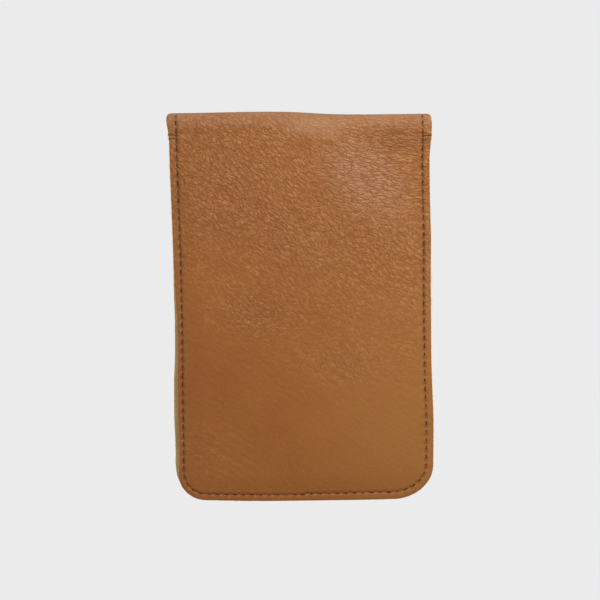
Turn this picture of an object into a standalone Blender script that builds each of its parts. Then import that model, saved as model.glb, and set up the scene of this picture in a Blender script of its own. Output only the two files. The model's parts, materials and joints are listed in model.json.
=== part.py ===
"""Flat leather sleeve for a slim folding camera.

One hide makes the back panel, the fold over the top and the flap. A front panel is sewn to it down both
sides and along the bottom, and a press stud holds the flap shut. The sleeve stands upright: +X is its
width, +Z points up to the fold, and the flap hangs down the +Y side. Lengths are in millimetres, and
become metres where a mesh or a curve is made.
"""

from math import cos, hypot, pi, radians, sin, sqrt

import bmesh
import bpy
from mathutils import Matrix, Vector

MM = 0.001

# Driving dimensions
HEIGHT = 203.0
BODY_WIDTH = 135.0
FOLD_WIDTH = 139.0
CORNER_RADIUS = 14.5
FLAP_DROP = 60.0
MOUTH_BELOW_TOP = 11.0
POCKET_DEPTH = 6.0
LEATHER = 1.4
LINING = 0.6
FELT = 1.5
GAP = 0.3
SEAM_INSET = 3.7
THREAD_RADIUS = 0.35
CAP_RADIUS = 6.25
CAP_RISE = 2.2
CAP_RIM = 0.5

# Layers from back to front
PADDED_WALL = LEATHER + GAP + FELT + GAP + LINING
FLAP_WALL = LEATHER + GAP + LINING
FLAP_CLEARANCE = 0.4
FLAP_LIFT = 4.4  # how far the closed press stud holds the flap off the front panel
FOLD_RADIUS = (2 * PADDED_WALL + POCKET_DEPTH + FLAP_CLEARANCE + FLAP_WALL) / 2
THREAD_OFFSET = GAP + THREAD_RADIUS
TOTAL_DEPTH = THREAD_OFFSET + THREAD_RADIUS + 2 * FOLD_RADIUS + FLAP_LIFT + GAP + CAP_RISE
BACK_Y = THREAD_OFFSET + THREAD_RADIUS - TOTAL_DEPTH / 2
FOLD_Y = BACK_Y + FOLD_RADIUS
FOLD_Z = HEIGHT - FOLD_RADIUS
FRONT_Y = BACK_Y + 2 * PADDED_WALL + POCKET_DEPTH
FLAP_Y = FOLD_Y + FOLD_RADIUS
SEWN_EDGE = 2 * LEATHER + 2 * LINING + 3 * GAP

# Heights and margins
MOUTH_Z = HEIGHT - MOUTH_BELOW_TOP
FLAP_BOTTOM = HEIGHT - FLAP_DROP
FELT_TOP = MOUTH_Z - 12.0
FLARE_START = 172.0
EDGE_ROLL = 2.0
ROLL_WIDTH = 14.0
ROLL_FADE_START = 150.0
RISE_START = 5.0
RISE_END = 21.0
PAD_START = 7.0
FELT_MARGIN = 15.0

# The living hinge: the hide bends along two lines on the outside of the fold
HINGE_ANGLES = {"back": radians(45), "front": radians(135)}
HIDE_CUT = GAP / 2 / FOLD_RADIUS
THREAD_CUT = 1.6 / FOLD_RADIUS  # leaves the threads room to swing past the hinge line

# Press stud: radii, then thicknesses and heights
SNAP_Z = FLAP_BOTTOM + 14.0
FLAP_FLAT_TOP = SNAP_Z + 9.0
FLAP_FACE = FLAP_Y + FLAP_LIFT
FLAP_INSIDE = FLAP_FACE - FLAP_WALL
CAP_HOLE = 2.0
CAP_BARREL = 1.5
CAP_CLINCH = 2.5
SOCKET_RADIUS = 5.0
SOCKET_WALL = 4.5
SOCKET_BORE = 3.1
SOCKET_GROOVE = 3.6
SPRING_RADIUS = 3.02
SPRING_WIRE = 0.28
STUD_FLANGE = 4.4
STUD_BULB = 2.3
STUD_NECK = 1.7
STUD_BORE = 1.4
POST_BARREL = 1.1
POST_HOLE = 1.6
POST_FLANGE = 5.0
SOCKET_PLATE = 0.6
SOCKET_STANDOFF = 0.9  # from the front panel to the socket's mouth
GROOVE_HEIGHT = 1.0
STUD_PLATE = 0.4
STUD_HEIGHT = 2.9
POST_PLATE = 0.5
ROUND_STEPS = 28
DOME_STEPS = 6
SPRING_STEPS = 26

# Grid lines of every sheet, as distances from its sewn edge and as heights
EDGE_STEPS = (0.0, SEAM_INSET, RISE_START, PAD_START, 9.0, 11.0, 13.0, FELT_MARGIN, 18.0, RISE_END, 42.0)
CORNER_STEPS = (0.0, 1.2) + EDGE_STEPS[1:-1]
UPPER_STEPS = (60.0, 110.0, ROLL_FADE_START, 160.0, 166.0, FLARE_START, FELT_TOP, 186.0, MOUTH_Z)
ARC_STEPS = 3
THREAD_STEP = 6.0

LEATHER_COLOUR = (0.32, 0.125, 0.038)
LINING_COLOUR = (0.30, 0.24, 0.16)
FELT_COLOUR = (0.22, 0.21, 0.19)
THREAD_COLOUR = (0.045, 0.016, 0.008)
METAL_COLOUR = (0.42, 0.33, 0.18)


def clear_scene():
    for item in list(bpy.data.objects):
        bpy.data.objects.remove(item, do_unlink=True)


def smooth(value):
    """An S-curve from 0 to 1 that is level at both ends."""
    value = min(max(value, 0.0), 1.0)
    return value * value * (3 - 2 * value)


# ---------------------------------------------------------------- shapes of the faces


def half_width(z, bottom=0.0):
    """Half the width at height z of a panel whose rounded bottom edge is at the height bottom."""
    flare = (FOLD_WIDTH - BODY_WIDTH) / 2 * smooth((z - FLARE_START) / (FOLD_Z - FLARE_START))
    drop = max(CORNER_RADIUS - (z - bottom), 0.0)
    return BODY_WIDTH / 2 + flare - (CORNER_RADIUS - sqrt(CORNER_RADIUS**2 - drop**2))


def edge_distance(x, z):
    """Distance from a point of the body to its sewn edge, which is open at the top."""
    corner_x = BODY_WIDTH / 2 - CORNER_RADIUS
    if z < CORNER_RADIUS and abs(x) > corner_x:
        return CORNER_RADIUS - hypot(abs(x) - corner_x, CORNER_RADIUS - z)
    return min(half_width(z) - abs(x), z)


def back_outside(x, z):
    """The back panel is flat, and its sewn edge rolls forward a little below the mouth."""
    roll = 1 - smooth(edge_distance(x, z) / ROLL_WIDTH)
    fade = 1 - smooth((z - ROLL_FADE_START) / (MOUTH_Z - ROLL_FADE_START))
    return BACK_Y + EDGE_ROLL * roll * fade


def felt_room(x, z):
    """Room between hide and lining: none at the seam and at the mouth, and all of it over the felt."""
    side = smooth((edge_distance(x, z) - PAD_START) / (FELT_MARGIN - PAD_START))
    top = 1 - smooth((z - FELT_TOP) / (MOUTH_Z - FELT_TOP))
    return (FELT + GAP) * side * top


def back_lining_outside(x, z):
    return back_outside(x, z) + LEATHER + GAP + felt_room(x, z)


def front_outside(x, z):
    """The front panel rises from the sewn edge to a flat face."""
    rise = smooth((edge_distance(x, z) - RISE_START) / (RISE_END - RISE_START))
    edge = back_outside(x, z) + SEWN_EDGE
    return edge + (FRONT_Y - edge) * rise


def front_lining_outside(x, z):
    return front_outside(x, z) - LEATHER - GAP - felt_room(x, z)


def flap_outside(x, z):
    """The flap leans out from the fold to the level that the press stud holds it at."""
    return FLAP_Y + FLAP_LIFT * smooth((FOLD_Z - z) / (FOLD_Z - FLAP_FLAT_TOP))


def shifted(face, offset):
    """The same face, moved along Y."""
    return lambda x, z: face(x, z) + offset


# ---------------------------------------------------------------- builders


def principled(name, colour, roughness, metallic=0.0):
    material = bpy.data.materials.new(name)
    material.use_nodes = True
    shader = material.node_tree.nodes["Principled BSDF"]
    shader.inputs["Base Color"].default_value = (*colour, 1.0)
    shader.inputs["Roughness"].default_value = roughness
    shader.inputs["Metallic"].default_value = metallic
    return material


def place(item, material, parent=None):
    """Links an object made in world coordinates and hangs it on the empty of its joint."""
    item.data.materials.append(material)
    bpy.context.collection.objects.link(item)
    if parent:
        item.parent = parent
        item.matrix_parent_inverse = parent.matrix_world.inverted()
    return item


def hinge_empty(name, angle, parent=None):
    """An empty on the outside of the fold, with the joint's axis along X."""
    empty = bpy.data.objects.new(name, None)
    empty.location = fold_point(0.0, angle, FOLD_RADIUS) * MM
    empty.empty_display_size = 10 * MM
    bpy.context.collection.objects.link(empty)
    bpy.context.view_layer.update()
    if parent:
        empty.parent = parent
        empty.matrix_parent_inverse = parent.matrix_world.inverted()
        bpy.context.view_layer.update()
    return empty


def fold_point(x, angle, radius):
    """A point of the fold: angle 0 is its back edge, and half a turn its front edge."""
    return Vector((x, FOLD_Y - radius * cos(angle), FOLD_Z + radius * sin(angle)))


def column_fractions(margin=0.0):
    """Grid columns as fractions of the half width, from the left edge to the right."""
    left = [distance / (BODY_WIDTH / 2) - 1 for distance in EDGE_STEPS if distance >= margin]
    return left + [0.0] + [-fraction for fraction in reversed(left)]


def face_rows(face, heights, bottom=0.0, margin=0.0):
    """Rows of points on a face, one row for each height."""
    rows = []
    for z in heights:
        across = [fraction * half_width(z, bottom) for fraction in column_fractions(margin)]
        rows.append([Vector((x, face(x, z), z)) for x in across])
    return rows


def fold_rows(radius, start, end):
    """Rows of points round the fold between two angles, both ends included."""
    angles = [start + (end - start) * step / ARC_STEPS for step in range(ARC_STEPS + 1)]
    across = [fraction * FOLD_WIDTH / 2 for fraction in column_fractions()]
    return [[fold_point(x, angle, radius) for x in across] for angle in angles]


def rim(rows):
    """The points round the edge of a grid, in order."""
    right = [row[-1] for row in rows[1:-1]]
    left = [row[0] for row in rows[-2:0:-1]]
    return rows[0] + right + rows[-1][::-1] + left


def sheet(name, outside, inside, material, parent=None):
    """A closed solid between two grids of points that have the same rows and columns."""
    bm = bmesh.new()
    skins = [[[bm.verts.new(point * MM) for point in row] for row in rows] for rows in (outside, inside)]
    for rows in skins:
        for low, high in zip(rows, rows[1:]):
            for column in range(len(low) - 1):
                bm.faces.new((low[column], low[column + 1], high[column + 1], high[column]))
    edges = [rim(rows) for rows in skins]
    for index in range(len(edges[0])):
        bm.faces.new((edges[0][index - 1], edges[0][index], edges[1][index], edges[1][index - 1]))
    bmesh.ops.recalc_face_normals(bm, faces=bm.faces)
    mesh = bpy.data.meshes.new(name)
    bm.to_mesh(mesh)
    bm.free()
    return place(bpy.data.objects.new(name, mesh), material, parent)


def tube(name, points, radius, material, parent=None):
    """A round tube through the points, for a sewing thread or a wire."""
    curve = bpy.data.curves.new(name, "CURVE")
    curve.dimensions = "3D"
    curve.bevel_depth = radius * MM
    curve.bevel_resolution = 1
    curve.use_fill_caps = True
    spline = curve.splines.new("POLY")
    spline.points.add(len(points) - 1)
    for slot, point in zip(spline.points, points):
        slot.co = (*(point * MM), 1.0)
    return place(bpy.data.objects.new(name, curve), material, parent)


def thread(name, points, material, parent=None):
    return tube(name, points, THREAD_RADIUS, material, parent)


def turned(name, profile, material, closed=False, parent=None):
    """A round part on the press stud's axis, from (radius, world Y) points that run from front to back."""
    mesh = bpy.data.meshes.new(name)
    points = [(radius * MM, 0.0, y * MM) for radius, y in profile]
    edges = [(index, index + 1) for index in range(len(points) - 1)]
    if closed:
        edges.append((len(points) - 1, 0))
    mesh.from_pydata(points, edges, [])
    item = bpy.data.objects.new(name, mesh)
    item.location = (0.0, 0.0, SNAP_Z * MM)
    item.rotation_euler = (-pi / 2, 0.0, 0.0)
    screw = item.modifiers.new("turn", "SCREW")
    screw.steps = screw.render_steps = ROUND_STEPS
    screw.use_merge_vertices = True
    screw.merge_threshold = 0.00001
    screw.use_smooth_shade = True
    return place(item, material, parent)


def drill(item, radius):
    """A hole through a sheet on the press stud's axis."""
    bm = bmesh.new()
    bmesh.ops.create_cone(
        bm, cap_ends=True, segments=ROUND_STEPS, radius1=radius * MM, radius2=radius * MM, depth=HEIGHT * MM
    )
    mesh = bpy.data.meshes.new(item.name + "_cutter")
    bm.to_mesh(mesh)
    bm.free()
    cutter = bpy.data.objects.new(mesh.name, mesh)
    cutter.matrix_world = Matrix.Translation((0.0, 0.0, SNAP_Z * MM)) @ Matrix.Rotation(pi / 2, 4, "X")
    cutter.hide_render = True
    cutter.display_type = "WIRE"
    bpy.context.collection.objects.link(cutter)
    cut = item.modifiers.new("hole", "BOOLEAN")
    cut.operation = "DIFFERENCE"
    cut.solver = "EXACT"
    cut.object = cutter


# ---------------------------------------------------------------- the pieces


def hide_and_lining(names, radius, thickness, body_face, flap_face, material, empties):
    """One layer of the wall that runs up the back, over the fold and down the flap, in its three parts."""
    back_end = HINGE_ANGLES["back"] - HIDE_CUT
    fold_start = HINGE_ANGLES["back"] + HIDE_CUT
    fold_end = HINGE_ANGLES["front"] - HIDE_CUT
    flap_start = HINGE_ANGLES["front"] + HIDE_CUT
    back_name, fold_name, flap_name = names
    heights = CORNER_STEPS + UPPER_STEPS
    inner = radius - thickness
    sheet(
        back_name,
        face_rows(body_face, heights) + fold_rows(radius, 0.0, back_end),
        face_rows(shifted(body_face, thickness), heights) + fold_rows(inner, 0.0, back_end),
        material,
    )
    sheet(
        fold_name,
        fold_rows(radius, fold_start, fold_end),
        fold_rows(inner, fold_start, fold_end),
        material,
        empties["back"],
    )
    drop = [FLAP_BOTTOM + step for step in CORNER_STEPS] + [FLAP_FLAT_TOP + 8.0, 186.0]
    flap = sheet(
        flap_name,
        fold_rows(radius, flap_start, pi) + face_rows(flap_face, drop, FLAP_BOTTOM)[::-1],
        fold_rows(inner, flap_start, pi) + face_rows(shifted(flap_face, -thickness), drop, FLAP_BOTTOM)[::-1],
        material,
        empties["front"],
    )
    drill(flap, CAP_HOLE)


def front_wall(leather, lining):
    heights = CORNER_STEPS + UPPER_STEPS
    panel = sheet(
        "front_panel",
        face_rows(front_outside, heights),
        face_rows(shifted(front_outside, -LEATHER), heights),
        leather,
    )
    drill(panel, POST_HOLE)
    sheet(
        "front_lining",
        face_rows(front_lining_outside, heights),
        face_rows(shifted(front_lining_outside, -LINING), heights),
        lining,
    )


def padding(felt):
    """A sheet of felt inside each wall of the pocket, short of its seams and its mouth."""
    heights = [z for z in CORNER_STEPS + UPPER_STEPS if FELT_MARGIN <= z <= FELT_TOP]
    back = shifted(back_outside, LEATHER + GAP)
    front = shifted(front_outside, -LEATHER - GAP)
    sheet(
        "back_padding",
        face_rows(back, heights, margin=FELT_MARGIN),
        face_rows(shifted(back, FELT), heights, margin=FELT_MARGIN),
        felt,
    )
    front_felt = sheet(
        "front_padding",
        face_rows(front, heights, margin=FELT_MARGIN),
        face_rows(shifted(front, -FELT), heights, margin=FELT_MARGIN),
        felt,
    )
    drill(front_felt, POST_FLANGE + 2 * GAP)


def seam_line(bottom, top):
    """Points (x, z) of the seam: down the left side, round the bottom and up the right side."""
    radius = CORNER_RADIUS - SEAM_INSET
    low = bottom + CORNER_RADIUS
    count = int((top - low) / THREAD_STEP)
    side = [low + (top - low) * (count - step) / count for step in range(count)]
    quarter = [pi / 2 * step / 8 for step in range(9)]
    corner_x = BODY_WIDTH / 2 - CORNER_RADIUS
    left = [(SEAM_INSET - half_width(z, bottom), z) for z in side]
    left += [(-corner_x - radius * cos(turn), low - radius * sin(turn)) for turn in quarter]
    steps = int(corner_x / THREAD_STEP)
    middle = [(-corner_x + corner_x * step / steps, bottom + SEAM_INSET) for step in range(1, steps + 1)]
    half = left + middle
    return half + [(-x, z) for x, z in reversed(half[:-1])]


def on_face(line, face, offset):
    """The line laid on a face and lifted off it."""
    return [Vector((x, face(x, z) + offset, z)) for x, z in line]


def fold_arc(side, radius, start, end):
    """A run of stitches over the fold on one side, -1 for left and 1 for right."""
    x = side * (FOLD_WIDTH / 2 - SEAM_INSET)
    steps = 4
    return [fold_point(x, start + (end - start) * step / steps, radius) for step in range(steps + 1)]


def seam_threads(material, empties):
    """Needle thread on the outside and bobbin thread on the inside, parted where the hide bends."""
    outside = FOLD_RADIUS + THREAD_OFFSET
    inside = FOLD_RADIUS - FLAP_WALL - THREAD_OFFSET
    back_end = HINGE_ANGLES["back"] - THREAD_CUT
    fold_ends = (HINGE_ANGLES["back"] + THREAD_CUT, HINGE_ANGLES["front"] - THREAD_CUT)
    flap_start = HINGE_ANGLES["front"] + THREAD_CUT

    body = on_face(seam_line(0.0, FOLD_Z - 2.0), back_outside, -THREAD_OFFSET)
    left, right = (fold_arc(side, outside, 0.0, back_end) for side in (-1, 1))
    thread("back_seam_thread", left[::-1] + body + right, material)
    front = on_face(seam_line(0.0, MOUTH_Z - 1.0), front_outside, THREAD_OFFSET)
    thread("front_seam_thread", front, material)

    flap_line = seam_line(FLAP_BOTTOM, FOLD_Z - 2.0)
    for name, radius, offset in (
        ("flap_seam_thread", outside, THREAD_OFFSET),
        ("flap_bobbin_thread", inside, -FLAP_WALL - THREAD_OFFSET),
    ):
        flap = on_face(flap_line, flap_outside, offset)
        left, right = (fold_arc(side, radius, flap_start, pi) for side in (-1, 1))
        thread(name, left + flap + right[::-1], material, empties["front"])

    for side, word in ((-1, "left"), (1, "right")):
        thread("fold_thread_" + word, fold_arc(side, outside, *fold_ends), material, empties["back"])
        thread("fold_bobbin_" + word, fold_arc(side, inside, *fold_ends), material, empties["back"])
        x = side * (FOLD_WIDTH / 2 - SEAM_INSET)
        foot = fold_point(x, 0.0, inside) + Vector((0.0, 0.0, MOUTH_Z + 1.0 - FOLD_Z))
        thread("back_bobbin_" + word, [foot] + fold_arc(side, inside, 0.0, back_end), material)


def back_tacks(material):
    """Two turns of thread round the sewn edge, just below each end of the mouth."""
    levels = (MOUTH_Z - 1.4, MOUTH_Z - 3.0)
    start = SEAM_INSET - 2 * THREAD_RADIUS - GAP
    for side, word in ((-1, "left"), (1, "right")):
        points = []
        for turn, z in enumerate(levels):
            edge = half_width(z)
            back = back_outside(edge, z) - THREAD_OFFSET
            front = front_outside(edge, z) + THREAD_OFFSET
            wrap = [(edge - start, front), (edge + THREAD_OFFSET, front)]
            wrap += [(edge + THREAD_OFFSET, back), (edge - start, back)]
            points += [Vector((side * x, y, z)) for x, y in (wrap[::-1] if turn else wrap)]
        thread("back_tack_" + word, points, material)


def mouth_threads(material):
    """Topstitching that joins the front panel to its lining along the mouth."""
    z = MOUTH_Z - SEAM_INSET
    line = [(fraction * half_width(z), z) for fraction in column_fractions(RISE_END)]
    thread("mouth_thread", on_face(line, front_outside, THREAD_OFFSET), material)
    thread("mouth_bobbin", on_face(line, front_lining_outside, -LINING - THREAD_OFFSET), material)


def cap_profile():
    """A domed cap with a rolled rim, whose barrel is clinched behind the socket's plate."""
    under = FLAP_FACE + GAP
    dome = [pi / 2 * step / DOME_STEPS for step in range(DOME_STEPS + 1)]
    points = [(CAP_RADIUS * sin(turn), under + CAP_RIM + (CAP_RISE - CAP_RIM) * cos(turn)) for turn in dome]
    plate = FLAP_INSIDE - GAP - SOCKET_PLATE
    clinch = (plate - 0.2, plate - 0.45)
    points += [(CAP_RADIUS - 0.15, under), (CAP_BARREL, under), (CAP_BARREL, clinch[0])]
    return points + [(CAP_CLINCH, clinch[0]), (CAP_CLINCH, clinch[1]), (0, clinch[1])]


def socket_profile(top, mouth, groove):
    """A cup with a groove inside for the spring, and a hole in its plate for the cap's barrel."""
    plate = top - SOCKET_PLATE
    low, high = groove - GROOVE_HEIGHT / 2, groove + GROOVE_HEIGHT / 2
    slope = 0.2
    outside = [(SOCKET_RADIUS, top), (SOCKET_RADIUS, plate), (SOCKET_WALL, plate - GAP), (SOCKET_WALL, mouth)]
    inside = [(SOCKET_BORE, mouth), (SOCKET_BORE, low - slope), (SOCKET_GROOVE, low), (SOCKET_GROOVE, high)]
    inside += [(SOCKET_BORE, high + slope), (SOCKET_BORE, plate), (CAP_BARREL + 0.4, plate)]
    return outside + inside + [(CAP_BARREL + 0.4, top)]


def stud_profile(foot):
    """A hollow bulb on a flange; its bore takes the post's barrel."""
    top, plate = foot + STUD_HEIGHT, foot + STUD_PLATE
    bulb = [(0, top), (1.3, top), (2.1, top - 0.3), (STUD_BULB, top - 0.7), (2.1, top - 1.2)]
    neck = [(STUD_NECK, top - 1.7), (STUD_NECK, plate), (STUD_FLANGE, plate), (STUD_FLANGE, foot)]
    bore_end = top - 0.6
    return bulb + neck + [(STUD_BORE, foot), (STUD_BORE, bore_end), (0, bore_end)]


def post_profile(foot, tip):
    """A barrel that goes through the front panel into the stud, and a flange behind the panel."""
    back = foot - POST_PLATE
    barrel = [(0, tip), (POST_BARREL, tip), (POST_BARREL, foot)]
    return barrel + [(POST_FLANGE, foot), (POST_FLANGE, back), (0, back)]


def press_stud(material, empties):
    """Cap, socket and spring on the flap; stud and post on the front panel."""
    mouth = FRONT_Y + SOCKET_STANDOFF
    groove = mouth + 1.2
    stud_foot = FRONT_Y + GAP
    turned("snap_cap", cap_profile(), material, parent=empties["front"])
    socket = socket_profile(FLAP_INSIDE - GAP, mouth, groove)
    turned("snap_socket", socket, material, closed=True, parent=empties["front"])
    turned("snap_stud", stud_profile(stud_foot), material)
    post = post_profile(FRONT_Y - LEATHER - GAP, stud_foot + 2.0)
    turned("snap_post", post, material)

    opening = radians(40)
    turns = [opening / 2 + (2 * pi - opening) * step / SPRING_STEPS for step in range(SPRING_STEPS + 1)]
    ring = [Vector((SPRING_RADIUS * sin(turn), groove, SNAP_Z + SPRING_RADIUS * cos(turn))) for turn in turns]
    tube("snap_spring", ring, SPRING_WIRE, material, empties["front"])


def build():
    clear_scene()
    leather = principled("leather", LEATHER_COLOUR, 0.5)
    lining = principled("lining", LINING_COLOUR, 0.9)
    felt = principled("felt", FELT_COLOUR, 0.95)
    sewing_thread = principled("thread", THREAD_COLOUR, 0.7)
    metal = principled("snap_metal", METAL_COLOUR, 0.35, 1.0)

    empties = {"back": hinge_empty("back_hinge_axis", HINGE_ANGLES["back"])}
    empties["front"] = hinge_empty("front_hinge_axis", HINGE_ANGLES["front"], empties["back"])

    hide = ("back_panel", "fold_strip", "flap_panel")
    hide_and_lining(hide, FOLD_RADIUS, LEATHER, back_outside, flap_outside, leather, empties)
    lining_names = ("back_lining", "fold_lining", "flap_lining")
    lining_radius = FOLD_RADIUS - LEATHER - GAP
    flap_lining_face = shifted(flap_outside, -LEATHER - GAP)
    hide_and_lining(
        lining_names, lining_radius, LINING, back_lining_outside, flap_lining_face, lining, empties
    )
    front_wall(leather, lining)
    padding(felt)
    seam_threads(sewing_thread, empties)
    back_tacks(sewing_thread)
    mouth_threads(sewing_thread)
    press_stud(metal, empties)


build()
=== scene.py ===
"""The looks of a tan leather sleeve with a folded-over flap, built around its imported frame.

Lengths are in millimetres and become metres where a mesh, lamp or camera is made. The hide is drawn flat
first: x across it, s along it, from the bottom edge (s = 0) up the back, over the fold and down the flap.
place_hide() bends it into the frame, so its outline, seam, stitches and grain all share one flat pattern.
"""

import json
import math

import bpy
import numpy as np
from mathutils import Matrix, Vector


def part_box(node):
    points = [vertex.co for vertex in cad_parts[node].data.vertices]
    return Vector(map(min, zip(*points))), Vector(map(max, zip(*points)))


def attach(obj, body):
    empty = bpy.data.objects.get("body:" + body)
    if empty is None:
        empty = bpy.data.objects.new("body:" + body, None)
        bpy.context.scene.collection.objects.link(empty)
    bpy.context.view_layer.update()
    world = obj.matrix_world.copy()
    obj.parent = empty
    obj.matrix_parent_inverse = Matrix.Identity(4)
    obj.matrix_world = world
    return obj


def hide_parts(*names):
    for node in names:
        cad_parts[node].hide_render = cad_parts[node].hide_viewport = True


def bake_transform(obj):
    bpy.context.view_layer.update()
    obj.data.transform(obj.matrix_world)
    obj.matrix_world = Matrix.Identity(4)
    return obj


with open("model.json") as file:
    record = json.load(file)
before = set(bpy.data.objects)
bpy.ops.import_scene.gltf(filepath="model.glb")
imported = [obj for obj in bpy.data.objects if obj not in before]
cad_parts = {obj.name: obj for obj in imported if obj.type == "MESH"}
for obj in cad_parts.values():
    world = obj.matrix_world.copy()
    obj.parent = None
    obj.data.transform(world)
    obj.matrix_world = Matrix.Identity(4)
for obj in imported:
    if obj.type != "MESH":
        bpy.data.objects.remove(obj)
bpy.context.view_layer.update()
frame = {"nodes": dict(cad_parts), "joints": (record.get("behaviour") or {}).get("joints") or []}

MM = 0.001
LOW = {name: np.array(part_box(name)[0]) / MM for name in frame["nodes"]}
HIGH = {name: np.array(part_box(name)[1]) / MM for name in frame["nodes"]}
BACK_HINGE, FRONT_HINGE = (np.array(joint["pos_m"]) / MM for joint in frame["joints"])

# The frame's own sizes. Both hinges lie on the outside of the fold, 45 degrees either side of its top.
RADIUS = (FRONT_HINGE[1] - BACK_HINGE[1]) / math.sqrt(2)
FOLD_Y = (FRONT_HINGE[1] + BACK_HINGE[1]) / 2
FOLD_Z = BACK_HINGE[2] - RADIUS / math.sqrt(2)
BACK_Y = FOLD_Y - RADIUS
FLAP_Y = FOLD_Y + RADIUS
FRONT_Y = HIGH["front_panel"][1]
FLAP_FACE = HIGH["flap_panel"][1]
FLAP_LIFT = FLAP_FACE - FLAP_Y
MOUTH_Z = HIGH["front_panel"][2]
SNAP_X, _, SNAP_Z = (LOW["snap_cap"] + HIGH["snap_cap"]) / 2

# Layers, from the outside in.
LEATHER = 1.4
LINING = 0.6
FELT = 1.5
GAP = 0.3
SEWN_EDGE = 2 * (LEATHER + LINING) + 3 * GAP

# Where the flat hide turns into the fold, reaches its top and leaves it, and where the flap ends.
APEX = FOLD_Z + RADIUS * math.pi / 2
FLAP_START = FOLD_Z + RADIUS * math.pi
HIDE_LENGTH = FLAP_START + FOLD_Z - LOW["flap_panel"][2]

# The hand-cut outline: wider at the fold, pinched at its very top, and a little uneven down both sides.
FLARE = {-1: 1.8, 1: 1.4}
FLARE_FULL = {-1: 6, 1: 12}
FLARE_REACH = {-1: 21, 1: 30}
NARROWER_THAN_FOLD = 2.0
HALF_WIDTH = HIGH["fold_strip"][0] - NARROWER_THAN_FOLD
PINCH = {-1: 1.4, 1: 1.1}
PINCH_REACH = 4.4
CORNER_ACROSS = {-1: 14.5, 1: 21}
CORNER_UP = {-1: 14.5, 1: 17.5}
FLAP_CORNER = 14.5
# Each wander is (s, reach along s, how far the left side stands out, how far the right side does).
WANDERS = ((186, 42, 1.4, 0.1), (138, 16, 0.1, 0.45), (96, 10, -0.35, 0.0), (76, 14, -0.4, -0.15),
           (65, 8, 0.4, 0.0), (58, 52, -1.52, 0.0), (40, 18, 0.5, 0.6), (26, 18, -1.0, 0.0))
BOTTOM_RAISE = {-1: 1.7, 1: 0.8}
RAISE_REACH = 42
FOLD_RISE = 1.5
TILT = 1.1
TILT_REACH = 15
TILT_MIDDLE = 6
LAYER_STEP = 0.3
OVERHANG = 1.8
OVERHANG_FADE = (50, 140)

# The seam, and how the leather sits around it.
SEAM_INSET = 3.7
PITCH = 4.5
SEAM_GROOVE = 0.30
THREAD_RADIUS = 0.40
EDGE_ROLL = 2.0
ROLL_WIDTH = 14
ROLL_FADE = (150, MOUTH_Z)
RISE = (4.5, 27)
FELT_EDGE = (7, 15)
FELT_TOP = 180
DROOP = 4.0
FAR_INSIDE = 24


def smooth(t):
    """0 below 0, 1 above 1, and an even S between."""
    t = np.clip(t, 0, 1)
    return t * t * (3 - 2 * t)


def ramp(value, start, end):
    return smooth((value - start) / (end - start))


def bump(value, reach):
    """A rounded hump of height 1 at value 0."""
    return np.exp(-((value / reach) ** 2))


def lattice_noise(x, y, size, seed):
    """Soft noise from -1 to 1 whose lumps are about size across."""
    grid = np.random.default_rng(seed).uniform(-1, 1, (64, 64))
    u = np.asarray(x, float) / size + 31.3
    v = np.asarray(y, float) / size + 17.7
    i = np.floor(u).astype(int)
    j = np.floor(v).astype(int)
    fu = smooth(u - i)
    fv = smooth(v - j)
    i, j, i1, j1 = i % 64, j % 64, (i + 1) % 64, (j + 1) % 64
    low = grid[i, j] * (1 - fu) + grid[i1, j] * fu
    high = grid[i, j1] * (1 - fu) + grid[i1, j1] * fu
    return low * (1 - fv) + high * fv


def pebbles(x, y, size, seed):
    """Rounded cells about size across: 0 in the creases between them, 1 on their tops."""
    points = np.random.default_rng(seed).uniform(0.1, 0.9, (2, 128, 128))
    u = np.asarray(x, float) / size + 61.7
    v = np.asarray(y, float) / size + 43.1
    i = np.floor(u).astype(int)
    j = np.floor(v).astype(int)
    nearest = np.full(u.shape, 9.0)
    second = np.full(u.shape, 9.0)
    for di in (-1, 0, 1):
        for dj in (-1, 0, 1):
            a = (i + di) % 128
            b = (j + dj) % 128
            away = np.hypot(i + di + points[0, a, b] - u, j + dj + points[1, a, b] - v)
            second = np.minimum(second, np.maximum(away, nearest))
            nearest = np.minimum(nearest, away)
    return smooth((second - nearest) / 0.55)


# ---- the flat pattern ----


def by_side(values, x):
    """values[-1] left of the middle, values[1] right of it."""
    return np.where(np.asarray(x) < 0, values[-1], values[1])


def flare(s, x):
    return by_side(FLARE, x) * (1 - ramp(np.abs(s - APEX), by_side(FLARE_FULL, x), by_side(FLARE_REACH, x)))


def corner_cut(height, across, up):
    """How far a rounded corner cuts into the side, at a height above the corner's edge."""
    rise = np.clip((up - height) / up, 0, 1)
    return across * (1 - np.sqrt(np.clip(1 - rise**2, 0, 1)))


def straight_half_width(s, x):
    """From the middle to the cut edge on x's side, before its flare, pinch and corners."""
    width = HALF_WIDTH + 0 * s
    for at, reach, left, right in WANDERS:
        width = width + by_side({-1: left, 1: right}, x) * bump(s - at, reach)
    return width


def half_width(s, x):
    """From the middle to the cut edge of the hide, on x's side."""
    pinch = by_side(PINCH, x) * bump(s - APEX, PINCH_REACH)
    cut = corner_cut(s, by_side(CORNER_ACROSS, x), by_side(CORNER_UP, x))
    cut = cut + corner_cut(HIDE_LENGTH - s, FLAP_CORNER, FLAP_CORNER)
    return straight_half_width(s, x) + flare(s, x) - pinch - cut


def front_half_width(s, x):
    """The front panel's cut edge: the hide's own, and a little beyond it low down on the left."""
    beyond = by_side({-1: OVERHANG, 1: 0}, x) * (1 - ramp(s, *OVERHANG_FADE)) + LAYER_STEP
    return half_width(s, x) + beyond * ramp(s, 4, 22)


def seam_inset(s, x):
    """From the cut edge in to the seam, which runs straighter than the edge does."""
    pinch = by_side(PINCH, x) * bump(s - APEX, PINCH_REACH)
    cut_in = np.minimum(straight_half_width(s, x) - HALF_WIDTH, 0)
    return SEAM_INSET + 0.7 * flare(s, x) + 0.8 * cut_in - pinch


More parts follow.
